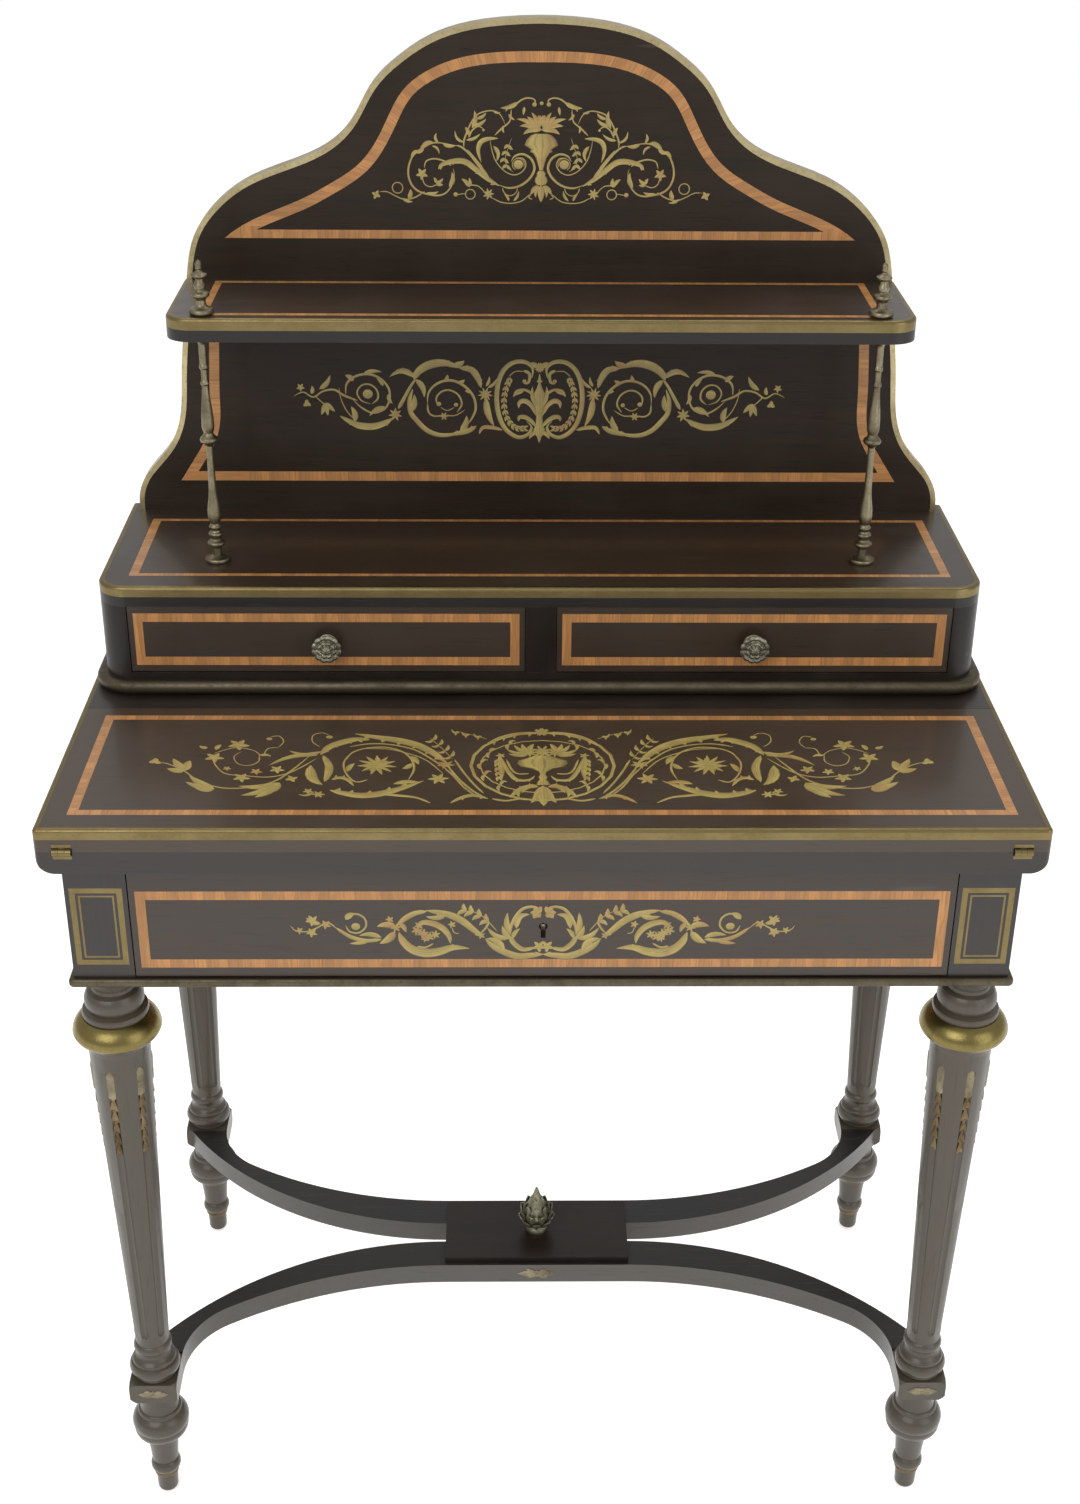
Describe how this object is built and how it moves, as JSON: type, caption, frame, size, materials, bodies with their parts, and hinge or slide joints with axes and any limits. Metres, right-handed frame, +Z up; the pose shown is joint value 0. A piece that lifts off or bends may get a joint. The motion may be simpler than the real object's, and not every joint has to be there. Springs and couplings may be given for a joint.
{
  "type": "writing desk with fold-over top and drawer case",
  "caption": "Ebonised ladies' writing desk with brass inlay: fold-over top, long drawer, drawer case with shaped back and shelf, turned fluted legs and a curved stretcher.",
  "frame": {"origin": "on the floor under the middle of the desk's bounding box", "axes": "+Z up, the sitter's side is -Y, +X to the sitter's right"},
  "size_m": [0.8, 0.4539, 1.303],
  "materials": {
    "ebonised_wood": "ebonised and polished",
    "dark_veneer": "dark stained veneer, satin",
    "banding": "cross-grained orange-brown banding",
    "brass": "aged satin brass",
    "gilt_brass": "polished gilt brass",
    "bronze": "dark patinated bronze",
    "steel": "aged steel",
    "leather": "dark writing leather",
    "inner_wood": "plain secondary wood, waxed"
  },
  "bodies": {
    "desk": {"leg_front_left": "ebonised_wood", "leg_front_right": "ebonised_wood", "leg_back_left": "ebonised_wood", "leg_back_right": "ebonised_wood", "leg_collars": "gilt_brass", "foot_rings": "gilt_brass", "inserts_front_left": "brass", "inserts_front_right": "brass", "inserts_back_left": "brass", "inserts_back_right": "brass", "stretcher_front_arms": "ebonised_wood", "stretcher_back_arms": "ebonised_wood", "stretcher_platform": "ebonised_wood", "stretcher_finial": "brass", "stretcher_ornaments": "gilt_brass", "corner_blocks": "ebonised_wood", "corner_inlays": "brass", "side_rails": "ebonised_wood", "back_rail": "ebonised_wood", "front_rail": "ebonised_wood", "apron_moulding": "brass", "drawer_guides": "inner_wood", "fixed_leaf": "ebonised_wood", "fixed_leaf_leather": "leather", "hinge_lower_plates": "brass", "rear_top": "ebonised_wood", "rear_top_edges": "brass", "case_bottom": "ebonised_wood", "case_moulding": "brass", "case_side_left": "ebonised_wood", "case_side_right": "ebonised_wood", "case_divider": "ebonised_wood", "case_back": "ebonised_wood", "case_top": "dark_veneer", "case_top_edge": "brass", "back_panel": "dark_veneer", "back_panel_edge": "brass", "shelf": "dark_veneer", "shelf_edge": "brass", "shelf_posts": "bronze", "shelf_finials": "bronze", "bandings": "banding"},
    "leaf": {"leaf": "dark_veneer", "leaf_edge": "brass", "leaf_band": "banding", "leaf_leather": "leather", "hinge_upper_plates": "brass"},
    "writing_drawer": {"writing_drawer_front": "dark_veneer", "writing_drawer_band": "banding", "writing_drawer_lock": "steel", "writing_drawer_sides": "inner_wood", "writing_drawer_bottom": "inner_wood", "writing_drawer_back": "inner_wood"},
    "lock_bolt": {"lock_bolt": "steel"},
    "left_drawer": {"left_drawer_front": "dark_veneer", "left_drawer_band": "banding", "left_drawer_knob": "bronze", "left_drawer_boards": "inner_wood"},
    "right_drawer": {"right_drawer_front": "dark_veneer", "right_drawer_band": "banding", "right_drawer_knob": "bronze", "right_drawer_boards": "inner_wood"}
  },
  "joints": [
    {"name": "leaf_hinge", "type": "hinge", "parent": "desk", "child": "leaf", "pos_m": [0, -0.22355, 0.74], "axis": [1, 0, 0], "range_deg": [0, 180]},
    {"name": "writing_drawer_slide", "type": "slide", "parent": "desk", "child": "writing_drawer", "axis": [0, -1, 0], "range_m": [0, 0.25]},
    {"name": "lock_bolt_slide", "type": "slide", "parent": "writing_drawer", "child": "lock_bolt", "axis": [0, 0, 1], "range_m": [0, 0.006]},
    {"name": "left_drawer_slide", "type": "slide", "parent": "desk", "child": "left_drawer", "axis": [0, -1, 0], "range_m": [0, 0.14]},
    {"name": "right_drawer_slide", "type": "slide", "parent": "desk", "child": "right_drawer", "axis": [0, -1, 0], "range_m": [0, 0.14]}
  ]
}
